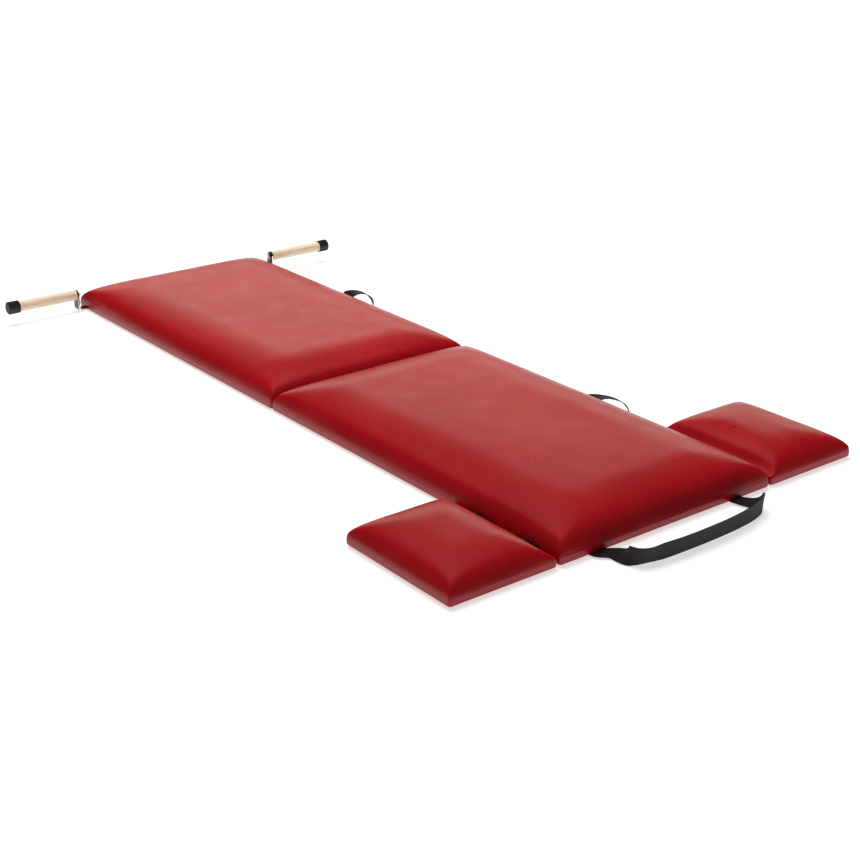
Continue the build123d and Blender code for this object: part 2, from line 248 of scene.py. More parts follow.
def plywood():
    """Birch plywood: pale faces with long figure, and thin plies on the edges."""
    s = Shader("plywood", (0.6, 0.45, 0.29), 0.65)
    plies = s.node("TexWave", Scale=220.0, bands_direction="Z", Distortion=0.4)
    s.link(s.coords(), plies.inputs["Vector"])
    figure = s.noise(4, 5, s.coords((8, 1, 8)))
    both = s.maths("MULTIPLY", s.maths("ADD", plies.outputs["Fac"], figure), 0.5)
    s.colour(s.ramp(both, [(0.2, (0.42, 0.29, 0.17)), (0.8, (0.68, 0.53, 0.36))]))
    return s.material


def dust_cloth():
    """Black bonded dust cover cloth with a fine pressed dimple pattern, the dimples' hollows darkened
    with painted shade.
    """
    s = Shader("dust_cloth", (0.02, 0.02, 0.021), 0.9, Sheen_Weight=0.2)
    cells = s.node("TexVoronoi", Scale=450.0)
    s.link(s.coords(), cells.inputs["Vector"])
    # painted shade: the colour follows the dimples' depth, darker where they sink
    s.colour(s.ramp(cells.outputs["Distance"], [(0.1, 0.012), (0.7, 0.032)]))
    s.normal(s.bump(cells.outputs["Distance"], 0.5, 0.0003))
    return s.material


def foam():
    """Open-cell foam, pale yellow."""
    s = Shader("foam", (0.8, 0.74, 0.5), 0.95)
    s.colour(s.ramp(s.noise(700, 3), [(0.3, (0.6, 0.54, 0.34)), (0.7, (0.86, 0.8, 0.58))]))
    return s.material


MATERIALS = {
    "red_vinyl": vinyl(),
    "webbing": webbing(),
    "beech": beech(),
    "black_rubber": rubber("black_rubber", 0.013, 0.62),
    "chromed_steel": polished_steel(),
    "zinc_steel": zinc(),
    "black_steel": black_steel(),
    "plywood": plywood(),
    "dust_cloth": dust_cloth(),
    "foam": foam(),
}
for subpart in frame["record"]["subparts"]:
    node = frame["nodes"][subpart["node"]]
    node.data.materials.clear()
    node.data.materials.append(MATERIALS[subpart["material_slot"]])


# ---- mesh helpers -------------------------------------------------------------------------------

def new_piece(name, points, faces, slot, smooth=True):
    """A mesh object with its material, from points in metres."""
    mesh = bpy.data.meshes.new(name)
    mesh.from_pydata([tuple(p) for p in points], [], faces)
    mesh.update()
    mesh.materials.append(MATERIALS[slot])
    mesh.polygons.foreach_set("use_smooth", [smooth] * len(mesh.polygons))
    piece = bpy.data.objects.new(name, mesh)
    bpy.context.scene.collection.objects.link(piece)
    return piece


def apply_modifiers(piece):
    """Bakes the piece's modifiers into its mesh."""
    graph = bpy.context.evaluated_depsgraph_get()
    mesh = bpy.data.meshes.new_from_object(piece.evaluated_get(graph))
    old, name = piece.data, piece.data.name
    piece.modifiers.clear()
    piece.data = mesh
    bpy.data.meshes.remove(old)
    mesh.name = name


# ---- pads ---------------------------------------------------------------------------------------

CORNER = 6 * MM
BAND_BULGE = 0.7 * MM
CREASE = 0.5 * MM              # how far the vinyl draws in at the board's top edge
CROWN_EDGE_DEPTH = 10 * MM     # how quickly the foam's rounded edge gains its height
PAD_EDGE, PAD_DOME = 26 * MM, 135 * MM
WING_EDGE, WING_DOME = 20 * MM, 100 * MM
WING_EASE = 15 * MM            # a wing's hinge side slopes more gently
BAND_DROP = 1.6 * MM           # the vinyl turned under the board reaches this far below it
RETURN = 24 * MM               # width of the vinyl turned under
RETURN_GAP = 2 * MM            # from the turned-under vinyl to the closing face under the board
DOME_POWER = 2.2               # how early the dome above the rounded edge fills out
RIDGE_POWER = 3.0              # how sharply two slopes meet on the line from a corner
BAND_ROWS = 8
GRID = 9 * MM                  # spacing of a pad's points away from its sides
EDGE_STEP, EDGE_GROWTH, EDGE_STEPS = 1.5 * MM, 1.15, 13    # their spacing near a side
LEAST_SHARE = 1e-4

CLOTH_FRAMES = 9
CAP_AT_EDGE, CAP_INSIDE = 0.15 * MM, 0.9 * MM     # how far the cloth may move the form
CAP_WIDTH = 120 * MM                              # from a side to where the cap is full
SLOW_RISE, QUICK_RISE, QUICKER = 0.7 * MM, 0.25 * MM, 3.1


def crown_share(d, edge, rise, dome):
    """The share of full height reached at a distance d in from one edge."""
    rounded = edge * (1 - np.exp(-d / CROWN_EDGE_DEPTH))
    return (rounded + (rise - edge) * (1 - (1 - np.clip(d / dome, 0, 1)) ** DOME_POWER)) / rise


def eased(d):
    """The distance that gives the same height on a side with the gentler slope."""
    steep = np.linspace(0, 0.3, 601)
    gentle = steep + WING_EASE * (1 - np.exp(-steep / (3 * MM))) * np.exp(-steep / (60 * MM))
    return np.interp(d, gentle, steep)


def spread(length):
    """Distances along one side: close steps near both ends that widen inwards, then even ones."""
    near = np.concatenate([[0], np.cumsum(EDGE_STEP * EDGE_GROWTH ** np.arange(EDGE_STEPS))])
    count = max(2, round((length - 2 * near[-1]) / GRID))
    middle = np.linspace(near[-1], length - near[-1], count + 1)
    return np.concatenate([near[:-1], middle, length - near[-2::-1]])


def pad_form(name):
    """A closed upholstered pad: crowned top, rounded band round the board, and vinyl turned under.
    Returns the piece, how many of its points are the top, and the top's rim."""
    low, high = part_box(f"{name}_cover")
    board_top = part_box(f"{name}_board")[1].z
    wing = name.endswith("wing")
    rise = high.z - board_top
    shape = (WING_EDGE, rise, WING_DOME) if wing else (PAD_EDGE, rise, PAD_DOME)
    centre = (low + high) / 2
    wide, long = high.x - low.x, high.y - low.y
    xs, ys = spread(wide), spread(long)
    gx, gy = np.meshgrid(xs, ys, indexing="ij")
    from_x, from_y = np.minimum(gx, wide - gx), np.minimum(gy, long - gy)
    sx, sy = np.sign(gx - wide / 2), np.sign(gy - long / 2)
    u, v = np.clip(1 - from_x / CORNER, 0, 1), np.clip(1 - from_y / CORNER, 0, 1)
    dx = from_x + CORNER * u * (1 - np.sqrt(1 - v * v / 2))
    dy = from_y + CORNER * v * (1 - np.sqrt(1 - u * u / 2))
    slope_x = from_x
    if wing:
        hinge_side = sx > 0 if name == "left_wing" else sx < 0
        slope_x = np.where(hinge_side, eased(from_x), from_x)
    ax, ay = crown_share(slope_x, *shape), crown_share(from_y, *shape)
    ax, ay = np.maximum(ax, LEAST_SHARE), np.maximum(ay, LEAST_SHARE)
    share = (ax ** -RIDGE_POWER + ay ** -RIDGE_POWER - 1) ** (-1 / RIDGE_POWER)
    px, py = centre.x + sx * (wide / 2 - dx), centre.y + sy * (long / 2 - dy)
    nx, ny = len(xs), len(ys)
    top = np.stack([px, py, board_top + rise * share], -1).reshape(-1, 3)
    cells = [
        (i * ny + j, (i + 1) * ny + j, (i + 1) * ny + j + 1, i * ny + j + 1)
        for i in range(nx - 1)
        for j in range(ny - 1)
    ]
    rim = (
        [i * ny for i in range(nx)]
        + [(nx - 1) * ny + j for j in range(1, ny)]
        + [i * ny + ny - 1 for i in range(nx - 2, -1, -1)]
        + list(range(ny - 2, 0, -1))
    )
    around = top[rim][:, :2]
    ahead = np.roll(around, -1, 0) - np.roll(around, 1, 0)
    outward = np.stack([ahead[:, 1], -ahead[:, 0]], -1)
    outward /= np.linalg.norm(outward, axis=1)[:, None]
    bottom = low.z - BAND_DROP
    shoulder, toe = board_top - 0.8 * MM, bottom + 0.9 * MM
    rows = [(-0.4 * CREASE, shoulder)]
    for k in range(1, BAND_ROWS):
        t = k / BAND_ROWS
        rows.append((BAND_BULGE * sin(pi * t) ** 0.7, shoulder + t * (toe - shoulder)))
    rows += [
        (-0.3 * MM, bottom + 0.25 * MM),
        (-1.6 * MM, bottom),
        (2 * MM - RETURN, bottom),
        (-RETURN, bottom + 0.3 * MM),
        (-RETURN, low.z),
    ]
    points, faces, last = list(top), list(cells), rim
    for out_by, height in rows:
        first = len(points)
        points += [(*(around[k] + outward[k] * out_by), height) for k in range(len(rim))]
        ring = list(range(first, first + len(rim)))
        for k in range(len(rim)):
            n = (k + 1) % len(rim)
            faces.append((last[k], ring[k], ring[n], last[n]))
        last = ring
    base = len(points)
    inner_x = 1 - 2 * (RETURN + RETURN_GAP) / wide
    inner_y = 1 - 2 * (RETURN + RETURN_GAP) / long
    for x, y, _ in top:
        points.append((centre.x + (x - centre.x) * inner_x, centre.y + (y - centre.y) * inner_y, low.z))
    faces += [tuple(base + k for k in reversed(cell)) for cell in cells]
    for k in range(len(rim)):
        n = (k + 1) % len(rim)
        faces.append((last[k], base + rim[k], base + rim[n], last[n]))
    points = np.array(points)
    points[rim, 2] = board_top
    points[rim, :2] -= outward * CREASE
    piece = new_piece(f"{name}_upholstery", points, faces, "red_vinyl")
    return piece, nx * ny, rim


def inflate(piece, free_count, rim):
    """Runs the vinyl as cloth over its own pressure, with the band and the edge held still."""
    before = np.array([v.co for v in piece.data.vertices])
    pins = piece.vertex_groups.new(name="held")
    pins.add(sorted(set(rim)) + list(range(free_count, len(before))), 1.0, "REPLACE")
    cloth = piece.modifiers.new("cloth", "CLOTH").settings
    cloth.quality = 4
    cloth.mass = 0.25
    cloth.tension_stiffness = cloth.compression_stiffness = 18
    cloth.shear_stiffness = 6
    cloth.bending_stiffness = 0.6
    cloth.vertex_group_mass = "held"
    cloth.use_pressure = True
    cloth.uniform_pressure_force = 2.5
    cloth.effector_weights.gravity = 0
    scene = bpy.context.scene
    for frame_number in range(1, CLOTH_FRAMES + 1):
        scene.frame_set(frame_number)
    graph = bpy.context.evaluated_depsgraph_get()
    after = np.array([v.co for v in piece.evaluated_get(graph).data.vertices])
    scene.frame_set(1)
    piece.modifiers.clear()
    piece.vertex_groups.clear()
    move = after - before
    size = np.linalg.norm(move, axis=1)
    low, high = before.min(axis=0), before.max(axis=0)
    inset = np.minimum(before - low, high - before)[:, :2].min(axis=1)
    inside = np.clip(inset / CAP_WIDTH, 0, 1)
    cap = CAP_AT_EDGE + CAP_INSIDE * inside * inside * (3 - 2 * inside)
    scale = cap * np.tanh(size / cap) / np.maximum(size, 1e-9)
    piece.data.vertices.foreach_set("co", (before + move * scale[:, None]).ravel())
    piece.data.update()


def settle(piece, free_count, seed):
    """Gives the top the slow unevenness of vinyl pulled over foam."""
    for index in range(free_count):
        vertex = piece.data.vertices[index]
        at = Vector((vertex.co.x * 6 + seed, vertex.co.y * 4, 0))
        vertex.co.z += SLOW_RISE * noise.noise(at) + QUICK_RISE * noise.noise(at * QUICKER)
    piece.data.update()


for seed, (name, body) in enumerate(PADS.items()):
    piece, free_count, rim = pad_form(name)
    inflate(piece, free_count, rim)
    settle(piece, free_count, 7.3 * seed)
    piece.modifiers.new("smooth", "SUBSURF").levels = 1
    apply_modifiers(piece)
    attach(piece, body)
    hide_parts(f"{name}_cover", f"{name}_foam")


# ---- webbing ------------------------------------------------------------------------------------

WEB = 1.6 * MM
STRAP_WIDE, LOOP_WIDE = 36 * MM, 28 * MM
START = 3.0                    # the free webbing starts this far beyond the mat's edge, in mm
TAB_INSIDE = (42, 20)          # points of the fixed ends, in from the edge, in mm
STRAP_CLEAR = 0.6              # the strap's lower edge stands this far above the floor, in mm
SMOOTHING = 8                  # points on the webbing for each listed station

# The foot strap from above: x, distance beyond the mat's end, heading and roll, in mm and degrees.
STRAP_STATIONS = [
    (-187, START, -49, 0), (-176, 15, -50, 2), (-168, 27, -62, 8), (-167, 40, -84, 20),
    (-170, 54, -92, 46), (-171, 67, -76, 76), (-161, 79, -42, 98), (-141, 86.5, -15, 106),
    (-108, 91, -7, 98), (-66, 93.5, -3, 100), (-20, 94, 0, 100), (45, 92.5, 3, 99),
    (100, 88, 7, 96), (140, 81, 14, 92), (168, 72, 20, 90), (182, 65, 50, 93), (187, 59, 78, 106),
    (188, 51, 88, 136), (187, 40, 91, 160), (184, 28, 92, 172), (181, 15, 92, 177),
    (179, START, 90, 180),
]

# A carry loop, from its near anchor to its far one: distance beyond the mat's side, distance along
# the mat from the loop's middle, height, and the direction of the webbing's width. In mm.
LOOP_STATIONS = [
    (START, -64, 4.2, (0, 1, 0)), (11, -64, 7, (0.1, 1, 0)), (17, -63, 14, (0.35, 0.92, -0.1)),
    (21, -60, 22, (0.55, 0.8, -0.25)), (24, -53, 31, (0.7, 0.6, -0.38)),
    (25, -40, 38, (0.78, 0.35, -0.5)), (25, -20, 40.5, (0.82, 0.1, -0.53)),
    (24, 2, 39, (0.82, -0.1, -0.5)), (23, 24, 34.5, (0.75, -0.35, -0.42)),
    (22, 42, 28, (0.65, -0.6, -0.35)), (20, 54, 20.5, (0.5, -0.8, -0.25)),
    (16, 61, 13, (0.3, -0.93, -0.12)), (10, 65, 7, (0.1, -1, 0)), (START, 66, 4.2, (0, -1, 0)),
]
LOOP_TALL = {"foot": 1.0, "head": 1.2}


def catmull(values, at):
    """A smooth curve through the values, read at the given places."""
    padded = np.concatenate([[2 * values[0] - values[1]], values, [2 * values[-1] - values[-2]]])
    k = np.clip(at.astype(int), 0, len(values) - 2)
    f = (at - k)[:, None]
    p0, p1, p2, p3 = padded[k], padded[k + 1], padded[k + 2], padded[k + 3]
    cubic = (3 * p1 - p0 - 3 * p2 + p3) * f**3
    return 0.5 * (2 * p1 + (p2 - p0) * f + (2 * p0 - 5 * p1 + 4 * p2 - p3) * f**2 + cubic)


def selvedge(wide, thick):
    """The outline of webbing cut across: slightly domed faces and thick rounded edges."""
    upper = [(-0.5, 0.15), (-0.492, 0.4), (-0.47, 0.52), (-0.43, 0.46), (-0.22, 0.5), (0, 0.5),
             (0.22, 0.5), (0.43, 0.46), (0.47, 0.52), (0.492, 0.4), (0.5, 0.15)]
    outline = [(a, -b) for a, b in upper] + list(reversed(upper))
    return [(a * wide, b * thick) for a, b in outline]


def sweep(name, points, widths, outline, slot):
    """A strip through points, with the outline set across it along each width direction. Its UVs
    are in metres: across in U, along in V."""
    tangents = np.gradient(points, axis=0)
    verts, uvs, along = [], [], 0.0
    count = len(outline)
    for k, (point, width, tangent) in enumerate(zip(points, widths, tangents)):
        ahead = Vector(tangent).normalized()
        across = Vector(width)
        across = (across - ahead * across.dot(ahead)).normalized()
        normal = ahead.cross(across)
        if k:
            along += float(np.linalg.norm(point - points[k - 1]))
        for a, b in outline:
            verts.append(Vector(point) + across * a + normal * b)
            uvs.append((a, along))
    faces = []
    for k in range(len(points) - 1):
        here, there = k * count, (k + 1) * count
        for i in range(count):
            n = (i + 1) % count
            faces.append((here + i, here + n, there + n, there + i))
    faces += [tuple(reversed(range(count))), tuple(range(len(verts) - count, len(verts)))]
    piece = new_piece(name, verts, faces, slot)
    layer = piece.data.uv_layers.new(name="UVMap")
    for loop in piece.data.loops:
        layer.data[loop.index].uv = uvs[loop.vertex_index]
    return piece


def webbing_piece(name, points, widths, wide):
    """Smooths the listed stations and sweeps the webbing along them."""
    places = np.linspace(0, len(points) - 1, (len(points) - 1) * SMOOTHING + 1)
    points = catmull(np.array(points, float), places)
    widths = catmull(np.array(widths, float), places)
    return sweep(name, points * MM, widths, selvedge(wide, WEB), "webbing")


def middle_height(node):
    """The height of the middle of a CAD node, in mm."""
    low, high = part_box(node)
    return (low.z + high.z) / 2 / MM


def foot_strap():
    """The strap across the wing end: flat where it leaves the mat, and on edge in the middle."""
    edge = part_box("foot_cover")[0].y / MM
    tab = middle_height("foot_strap_tabs")
    rows = [(STRAP_STATIONS[0][0], -d, -90, 0) for d in TAB_INSIDE]
    rows += STRAP_STATIONS
    rows += [(STRAP_STATIONS[-1][0], -d, 90, 180) for d in reversed(TAB_INSIDE)]
    points, widths = [], []
    stand = STRAP_CLEAR + STRAP_WIDE / MM / 2 - tab
    for x, beyond, heading, roll in rows:
        turn, tilt = radians(heading), radians(roll)
        points.append((x, edge - beyond, tab + stand * sin(tilt)))
        widths.append((-sin(turn) * cos(tilt), cos(turn) * cos(tilt), sin(tilt)))
    piece = webbing_piece("foot_strap_webbing", points, widths, STRAP_WIDE)
    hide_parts("foot_strap", "foot_strap_tabs")
    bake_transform(piece)


def carry_loop(pad):
    """One of the two short loops on the long side, standing in an arch and leaning a little out."""
    node = f"carry_loop_{pad}"
    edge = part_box(f"{pad}_cover")[1].x / MM
    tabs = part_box(f"{node}_tabs")
    first, last = LOOP_STATIONS[0], LOOP_STATIONS[-1]
    middle = (tabs[0].y + tabs[1].y) / 2 / MM - (first[1] + last[1]) / 2
    tab = middle_height(f"{node}_tabs")
    rows = [(-d, *first[1:]) for d in TAB_INSIDE] + LOOP_STATIONS
    rows += [(-d, *last[1:]) for d in reversed(TAB_INSIDE)]
    points, widths = [], []
    for beyond, along, height, width in rows:
        points.append((edge + beyond, middle + along, tab + (height - tab) * LOOP_TALL[pad]))
        widths.append(width)
    piece = webbing_piece(f"{node}_webbing", points, widths, LOOP_WIDE)
    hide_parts(node, f"{node}_tabs")
    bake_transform(piece)


foot_strap()
carry_loop("foot")
carry_loop("head")


# ---- hand grips ---------------------------------------------------------------------------------

WOOD_EDGE = 1.5 * MM
WOOD_SWELL = 0.35 * MM         # the dowel's slight swell to its middle
CAP_ROLL = 0.8 * MM            # the cap's rounded mouth
CAP_DOME = 3.5 * MM            # the rounding of its closed end
CAP_RIBS, RIB_START, RIB_STEP = 3, 4 * MM, 3.2 * MM
RIB_PROUD, RIB_DEEP, RIB_SLOPE, RIB_FLOOR = 0.2 * MM, 0.9 * MM, 0.4 * MM, 1.2 * MM
ARM_THICK = 5 * MM
ARM_BEND = 5.5 * MM            # radius of the bar's middle line
ARM_BREAK = 0.7 * MM           # size of its broken corners
ARM_STEPS = 8
TOP_STEPS, TOP_QUARTER = 14, 14.3    # the rounded top ends just short of a full quarter turn


def lathe(name, profile, at, axis, slot, segments=48):
    """A turned piece: (distance along, radius) points spun about an axis through a point."""
    axis = Vector(axis)
    side = axis.orthogonal().normalized()
    up = axis.cross(side)
    points = []
    for along, radius in profile:
        for k in range(segments):
            turn = 2 * pi * k / segments
            points.append(Vector(at) + axis * along + (side * cos(turn) + up * sin(turn)) * radius)
    faces = []
    for row in range(len(profile) - 1):
        for k in range(segments):
            n = (k + 1) % segments
            a, b = row * segments, (row + 1) * segments
            faces.append((a + k, a + n, b + n, b + k))
    faces += [tuple(reversed(range(segments))), tuple(range(len(points) - segments, len(points)))]
    return new_piece(name, points, faces, slot)


def rounded(along, radius, by, start, end, steps=5):
    """Profile points of an edge rounded by a small radius, from one angle to another."""
    turns = [radians(start + (end - start) * k / steps) for k in range(steps + 1)]
    return [(along + by * sin(t), radius + by * cos(t)) for t in turns]


def hand_grip(side, name):
    """The turned wooden grip and its ribbed rubber cap, along X from the steel arm."""
    low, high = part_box(f"{name}_grip")
    cap_low, cap_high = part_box(f"{name}_grip_end_cap")
    middle = (low + high) / 2
    start = low.x if side > 0 else high.x
    long = high.x - low.x
    radius = (high.z - low.z) / 2
    axis = (side, 0, 0)
    wood = [(0, radius - 2.6 * MM)] + rounded(WOOD_EDGE, radius - WOOD_EDGE, WOOD_EDGE, -90, 0)
    wood += [(long * k / 10, radius + WOOD_SWELL * sin(pi * k / 10)) for k in range(1, 9)]
    wood += [(long - 15 * MM, radius), (long - 1 * MM, radius - 0.4 * MM), (long, radius - WOOD_EDGE)]
    piece = lathe(f"{name}_wooden_grip", wood, (start, middle.y, middle.z), axis, "beech")
    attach(piece, "head_half")
    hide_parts(f"{name}_grip")

    outer = (cap_high.z - cap_low.z) / 2
    cap_long = cap_high.x - cap_low.x
    cap_start = cap_low.x if side > 0 else cap_high.x
    cap = [(0, radius + 0.2 * MM)] + rounded(CAP_ROLL, outer - 1.0 * MM, CAP_ROLL, -90, 0)
    for k in range(CAP_RIBS):
        at = RIB_START + k * RIB_STEP
        cap += [
            (at, outer - RIB_PROUD),
            (at + RIB_SLOPE, outer - RIB_DEEP),
            (at + RIB_FLOOR, outer - RIB_DEEP),
            (at + RIB_FLOOR + RIB_SLOPE, outer - RIB_PROUD),
        ]
    cap += rounded(cap_long - CAP_DOME, outer - CAP_DOME, CAP_DOME, 0, 80, 8)
    dish = cap_long - 0.5 * MM
    cap += [(cap_long - 0.02 * MM, 7 * MM), (dish, 6 * MM), (dish, 0.5 * MM)]
    piece = lathe(f"{name}_rubber_cap", cap, (cap_start, middle.y, middle.z), axis, "black_rubber")
    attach(piece, "head_half")
    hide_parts(f"{name}_grip_end_cap")


def arm_line(side, low, high):
    """The bar's middle line and half width: along under the board, round the bend, up and over."""
    half = (high.y - low.y) / 2
    inner = low.x if side > 0 else high.x
    face = (high.x if side > 0 else low.x) - side * ARM_THICK / 2
    level, straight = low.z + ARM_THICK / 2, high.z - half
    reach = abs(face - inner) - ARM_BEND
    line = [(inner + side * reach * k / ARM_STEPS, level, half) for k in range(ARM_STEPS + 1)]
    for k in range(1, ARM_STEPS + 1):
        turn = pi / 2 * k / ARM_STEPS
        line.append((face - side * ARM_BEND * (1 - sin(turn)), level + ARM_BEND * (1 - cos(turn)), half))
    upright = level + ARM_BEND
    line += [(face, upright + (straight - level - ARM_BEND) * k / 4, half) for k in range(1, 5)]
    for k in range(1, TOP_STEPS + 1):
        turn = pi / 2 * k / TOP_QUARTER
        line.append((face, straight + half * sin(turn), half * cos(turn)))
    return line


def bar_outline(half, broken):
    """The bar cut across: (distance across, share of half its thickness) with broken corners."""
    share = broken / ARM_THICK * 2
    return [
        (-half + broken, -1), (-half, -1 + share), (-half, 1 - share), (-half + broken, 1),
        (half - broken, 1), (half, 1 - share), (half, -1 + share), (half - broken, -1),
    ]


def grip_arm(side, name):
    """The bent steel bar, its corners broken and its upright rounded at the top."""
    low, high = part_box(f"{name}_grip_arm")
    middle_y = (low.y + high.y) / 2
    line = arm_line(side, low, high)
    tangents = np.gradient(np.array([(x, z) for x, z, _ in line]), axis=0)
    verts, faces = [], []
    for (x, z, half), (tx, tz) in zip(line, tangents):
        long = (tx * tx + tz * tz) ** 0.5
        nx, nz = -tz / long, tx / long
        for across, share in bar_outline(half, min(ARM_BREAK, half / 3)):
            out = share * ARM_THICK / 2
            verts.append((x + nx * out, middle_y + across, z + nz * out))
    for k in range(len(line) - 1):
        for i in range(8):
            n = (i + 1) % 8
            faces.append((k * 8 + i, (k + 1) * 8 + i, (k + 1) * 8 + n, k * 8 + n))
    faces += [tuple(range(8)), tuple(reversed(range(len(verts) - 8, len(verts))))]
    if side < 0:
        faces = [tuple(reversed(face)) for face in faces]
    piece = new_piece(f"{name}_steel_arm", verts, faces, "chromed_steel")
    piece.data.set_sharp_from_angle(angle=radians(30))
    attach(piece, "head_half")
    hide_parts(f"{name}_grip_arm")


for side, name in ((-1, "left"), (1, "right")):
    hand_grip(side, name)
    grip_arm(side, name)


# ---- underside ----------------------------------------------------------------------------------

SHEET_INSET = 13 * MM          # the dust sheet's edge, in from the mat's edge
HINGE_MARGIN = 16 * MM         # further in beside the centre hinge
SHEET_GRID = 12 * MM
SHEET_LIFT = 1.1 * MM          # it lies this much closer to the board inside the turned-under vinyl
SHEET_SLACK = 0.16 * MM
SHEET_THICK = 0.25 * MM
STAPLE_GAP, STAPLE_INSET = 48 * MM, 5 * MM
STAPLE_HALF, STAPLE_LEG, STAPLE_BEND, WIRE = 5.5 * MM, 1.2 * MM, 0.5 * MM, 0.35 * MM
STAPLE_CROOKED = 0.12          # radians
FOOT_ROLL = 1.2 * MM           # the rounded edge of a rubber foot's tread


def islands(node):
    """The centre and size of each separate solid in a CAD node."""
    mesh = frame["nodes"][node].data
    parent = list(range(len(mesh.vertices)))

    def root(k):
        while parent[k] != k:
            parent[k] = parent[parent[k]]
            k = parent[k]
        return k

    seen = {}
    for vertex in mesh.vertices:
        key = tuple(round(c, 5) for c in vertex.co)
        parent[vertex.index] = seen.setdefault(key, vertex.index)
    for a, b in (edge.vertices for edge in mesh.edges):
        parent[root(a)] = root(b)
    groups = {}
    for vertex in mesh.vertices:
        groups.setdefault(root(vertex.index), []).append(vertex.co)
    boxes = [(np.min(points, axis=0), np.max(points, axis=0)) for points in groups.values()]
    return [((low + high) / 2, high - low) for low, high in boxes]


def rubber_feet(pad, body):
    """Round bumpers with a rounded tread edge and a dished middle."""
    first = None
    for k, (centre, size) in enumerate(islands(f"{pad}_rubber_feet")):
        radius, tall = size[0] / 2, size[2]
        profile = [(0, radius - 0.2 * MM), (tall * 0.35, radius)]
        profile += rounded(tall - FOOT_ROLL, radius - 2.0 * MM, FOOT_ROLL, 0, 90)
        dish = [(0, 6), (0.8, 5.2), (2.2, 4.6), (2.4, 0.3)]
        profile += [(tall - deep * MM, out * MM) for deep, out in dish]
        at = (centre[0], centre[1], centre[2] + tall / 2)
        piece = lathe(f"{pad}_bumper_{k + 1}", profile, at, (0, 0, -1), "black_rubber", 32)
        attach(piece, body)
        first = first or piece
    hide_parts(f"{pad}_rubber_feet")


def dust_sheet(pad, body):
    """The black cloth over the board's underside, lying lower near its edge where it passes under the
    turned-under vinyl, and slightly slack.
    """
    low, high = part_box(f"{pad}_cover")
    x0, x1 = low.x + SHEET_INSET, high.x - SHEET_INSET
    y0 = low.y + SHEET_INSET + (HINGE_MARGIN if pad == "head" else 0)
    y1 = high.y - SHEET_INSET - (HINGE_MARGIN if pad == "foot" else 0)
    nx, ny = round((x1 - x0) / SHEET_GRID), round((y1 - y0) / SHEET_GRID)
    under_vinyl = low.z - BAND_DROP - 0.4 * MM
    verts, faces = [], []
    for i in range(nx + 1):
        for j in range(ny + 1):
            x, y = x0 + (x1 - x0) * i / nx, y0 + (y1 - y0) * j / ny
            inside = min(x - x0, x1 - x, y - y0, y1 - y)
            lift = SHEET_LIFT * min(1, max(0, (inside - 12 * MM) / (14 * MM)))
            slack = SHEET_SLACK * noise.noise(Vector((x * 14, y * 9, 3.7)))
            verts.append((x, y, under_vinyl + lift + slack))
    for i in range(nx):
        for j in range(ny):
            a = i * (ny + 1) + j
            faces.append((a, a + 1, a + ny + 2, a + ny + 1))
    piece = new_piece(f"{pad}_dust_sheet", verts, faces, "dust_cloth")
    thicken = piece.modifiers.new("thicken", "SOLIDIFY")
    thicken.thickness, thicken.offset = SHEET_THICK, 0
    apply_modifiers(piece)
    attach(piece, body)
    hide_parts(f"{pad}_dust_cover")
    return (x0, x1, y0, y1, under_vinyl)


def staple_places(x0, x1, y0, y1):
    """Where the staples go, (x, y, turn), evenly along the sheet's four sides."""
    places = []
    across, along = round((x1 - x0) / STAPLE_GAP), round((y1 - y0) / STAPLE_GAP)
    for y in (y0 + STAPLE_INSET, y1 - STAPLE_INSET):
        places += [(x0 + (x1 - x0) * (k + 0.5) / across, y, 0) for k in range(across)]
    for x in (x0 + STAPLE_INSET, x1 - STAPLE_INSET):
        places += [(x, y0 + (y1 - y0) * (k + 0.5) / along, pi / 2) for k in range(along)]
    return places


def staples(pad, body, edges):
    """The row of staples that holds the dust sheet, each a bent wire with its crown showing."""
    *sides, height = edges
    half, elbow = STAPLE_HALF, 0.1 * MM
    shape = [(-half, STAPLE_LEG), (-half, elbow), (-half + STAPLE_BEND, -WIRE),
             (half - STAPLE_BEND, -WIRE), (half, elbow), (half, STAPLE_LEG)]
    verts, faces = [], []
    for x, y, turn in staple_places(*sides):
        turn += STAPLE_CROOKED * noise.noise(Vector((x * 50, y * 50, 0)))
        base = len(verts)
        for along, up in shape:
            leg = abs(along) >= half
            outward = 1 if along > 0 else -1
            for b, around in ((-WIRE, -WIRE), (WIRE, -WIRE), (WIRE, WIRE), (-WIRE, WIRE)):
                a = along + around * outward if leg else along
                z = height + up - (0 if leg else around)
                verts.append((x + a * cos(turn) - b * sin(turn), y + a * sin(turn) + b * cos(turn), z))
        for k in range(len(shape) - 1):
            here, there = base + 4 * k, base + 4 * (k + 1)
            for i in range(4):
                n = (i + 1) % 4
                faces.append((here + i, here + n, there + n, there + i))
        faces += [(base + 3, base + 2, base + 1, base), tuple(len(verts) - 4 + i for i in range(4))]
    piece = new_piece(f"{pad}_staples", verts, faces, "zinc_steel", smooth=False)
    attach(piece, body)


for pad, body in PADS.items():
    rubber_feet(pad, body)
    staples(pad, body, dust_sheet(pad, body))


# ---- floor, light and camera --------------------------------------------------------------------

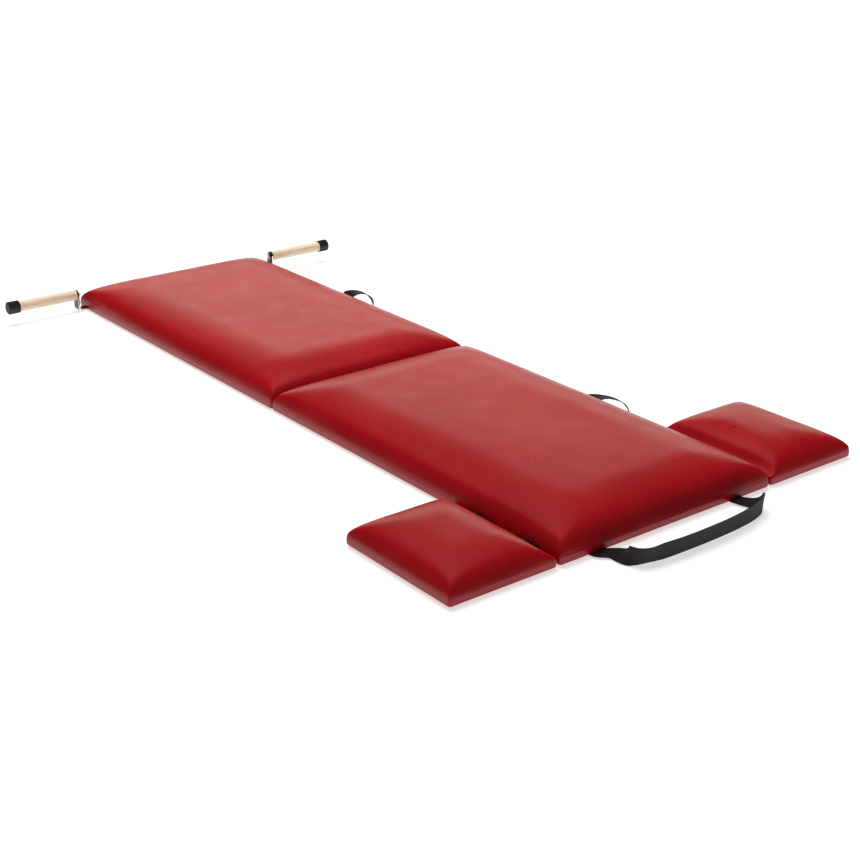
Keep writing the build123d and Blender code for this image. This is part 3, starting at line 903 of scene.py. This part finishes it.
def floor():
    """A white floor that glows more with distance, so that it meets the white room unseen."""
    side = 30
    corners = [(-side, -side, 0), (side, -side, 0), (side, side, 0), (-side, side, 0)]
    mesh = bpy.data.meshes.new("floor")
    mesh.from_pydata(corners, [], [(0, 1, 2, 3)])
    plane = bpy.data.objects.new("floor", mesh)
    bpy.context.scene.collection.objects.link(plane)
    white = bpy.data.materials.new("floor_white")
    white.use_nodes = True
    bsdf = white.node_tree.nodes["Principled BSDF"]
    bsdf.inputs["Base Color"].default_value = (0.55, 0.55, 0.55, 1)
    bsdf.inputs["Roughness"].default_value = 0.9
    bsdf.inputs["Specular IOR Level"].default_value = 0.2
    bsdf.inputs["Emission Color"].default_value = (1, 1, 1, 1)
    tree = white.node_tree
    place = tree.nodes.new("ShaderNodeTexCoord")
    length = tree.nodes.new("ShaderNodeVectorMath")
    length.operation = "LENGTH"
    glow = tree.nodes.new("ShaderNodeMapRange")
    for socket, value in (("From Min", 1.4), ("From Max", 4.5), ("To Min", 0.6), ("To Max", 1.0)):
        glow.inputs[socket].default_value = value
    tree.links.new(place.outputs["Object"], length.inputs[0])
    tree.links.new(length.outputs["Value"], glow.inputs["Value"])
    tree.links.new(glow.outputs["Result"], bsdf.inputs["Emission Strength"])
    mesh.materials.append(white)


def area_light(name, at, towards, wide, long, watts, shade, mirrored=True):
    """A rectangular light. One that is not mirrored lights the object without a reflection in it."""
    light = bpy.data.lights.new(name, "AREA")
    light.shape, light.size, light.size_y = "RECTANGLE", wide, long
    light.energy, light.color = watts, shade
    lamp = bpy.data.objects.new(name, light)
    lamp.location = at
    lamp.rotation_euler = (Vector(towards) - Vector(at)).to_track_quat("-Z", "Y").to_euler()
    lamp.visible_glossy = mirrored
    bpy.context.scene.collection.objects.link(lamp)


def world(strength, mirrored):
    """A dim white room, dimmer still in reflections, which looks white itself."""
    sky = bpy.data.worlds.new("studio")
    sky.use_nodes = True
    tree = sky.node_tree
    background = tree.nodes["Background"]
    background.inputs["Color"].default_value = (1, 1, 1, 1)
    rays = tree.nodes.new("ShaderNodeLightPath")
    seen = tree.nodes.new("ShaderNodeMapRange")
    seen.inputs["To Min"].default_value = mirrored
    tree.links.new(rays.outputs["Is Camera Ray"], seen.inputs["Value"])
    total = tree.nodes.new("ShaderNodeMath")
    total.operation = "MULTIPLY_ADD"
    total.inputs[1].default_value = strength
    tree.links.new(rays.outputs["Is Diffuse Ray"], total.inputs[0])
    tree.links.new(seen.outputs["Result"], total.inputs[2])
    tree.links.new(total.outputs["Value"], background.inputs["Strength"])
    bpy.context.scene.world = sky


def camera():
    """A long lens from in front and to the left, looking a little down."""
    azimuth, elevation = radians(-37.73), radians(22.44)
    back = Vector((sin(azimuth) * cos(elevation), -cos(azimuth) * cos(elevation), sin(elevation)))
    data = bpy.data.cameras.new("camera")
    data.sensor_width, data.lens = 36, 64.98
    data.clip_end = 100
    eye = bpy.data.objects.new("camera", data)
    eye.location = (-1.9434, -2.7259 + FOLD_Y, 1.2664)
    eye.rotation_euler = (-back).to_track_quat("-Z", "Y").to_euler()
    bpy.context.scene.collection.objects.link(eye)
    bpy.context.scene.camera = eye


floor()
world(0.17, 0.03)
KEY_SHADE, BACKDROP_SHADE = (1, 0.98, 0.95), (1, 0.95, 0.82)
area_light("key", (0.8, 1.5 + FOLD_Y, 4.0), (0, FOLD_Y, 0), 3.4, 3.4, 262, KEY_SHADE, mirrored=False)
area_light("backdrop", (4.6, 6.0, 2.2), (0, 0, 0.1), 9, 2.0, 72, BACKDROP_SHADE)
camera()
bpy.context.scene.view_settings.view_transform = "Standard"
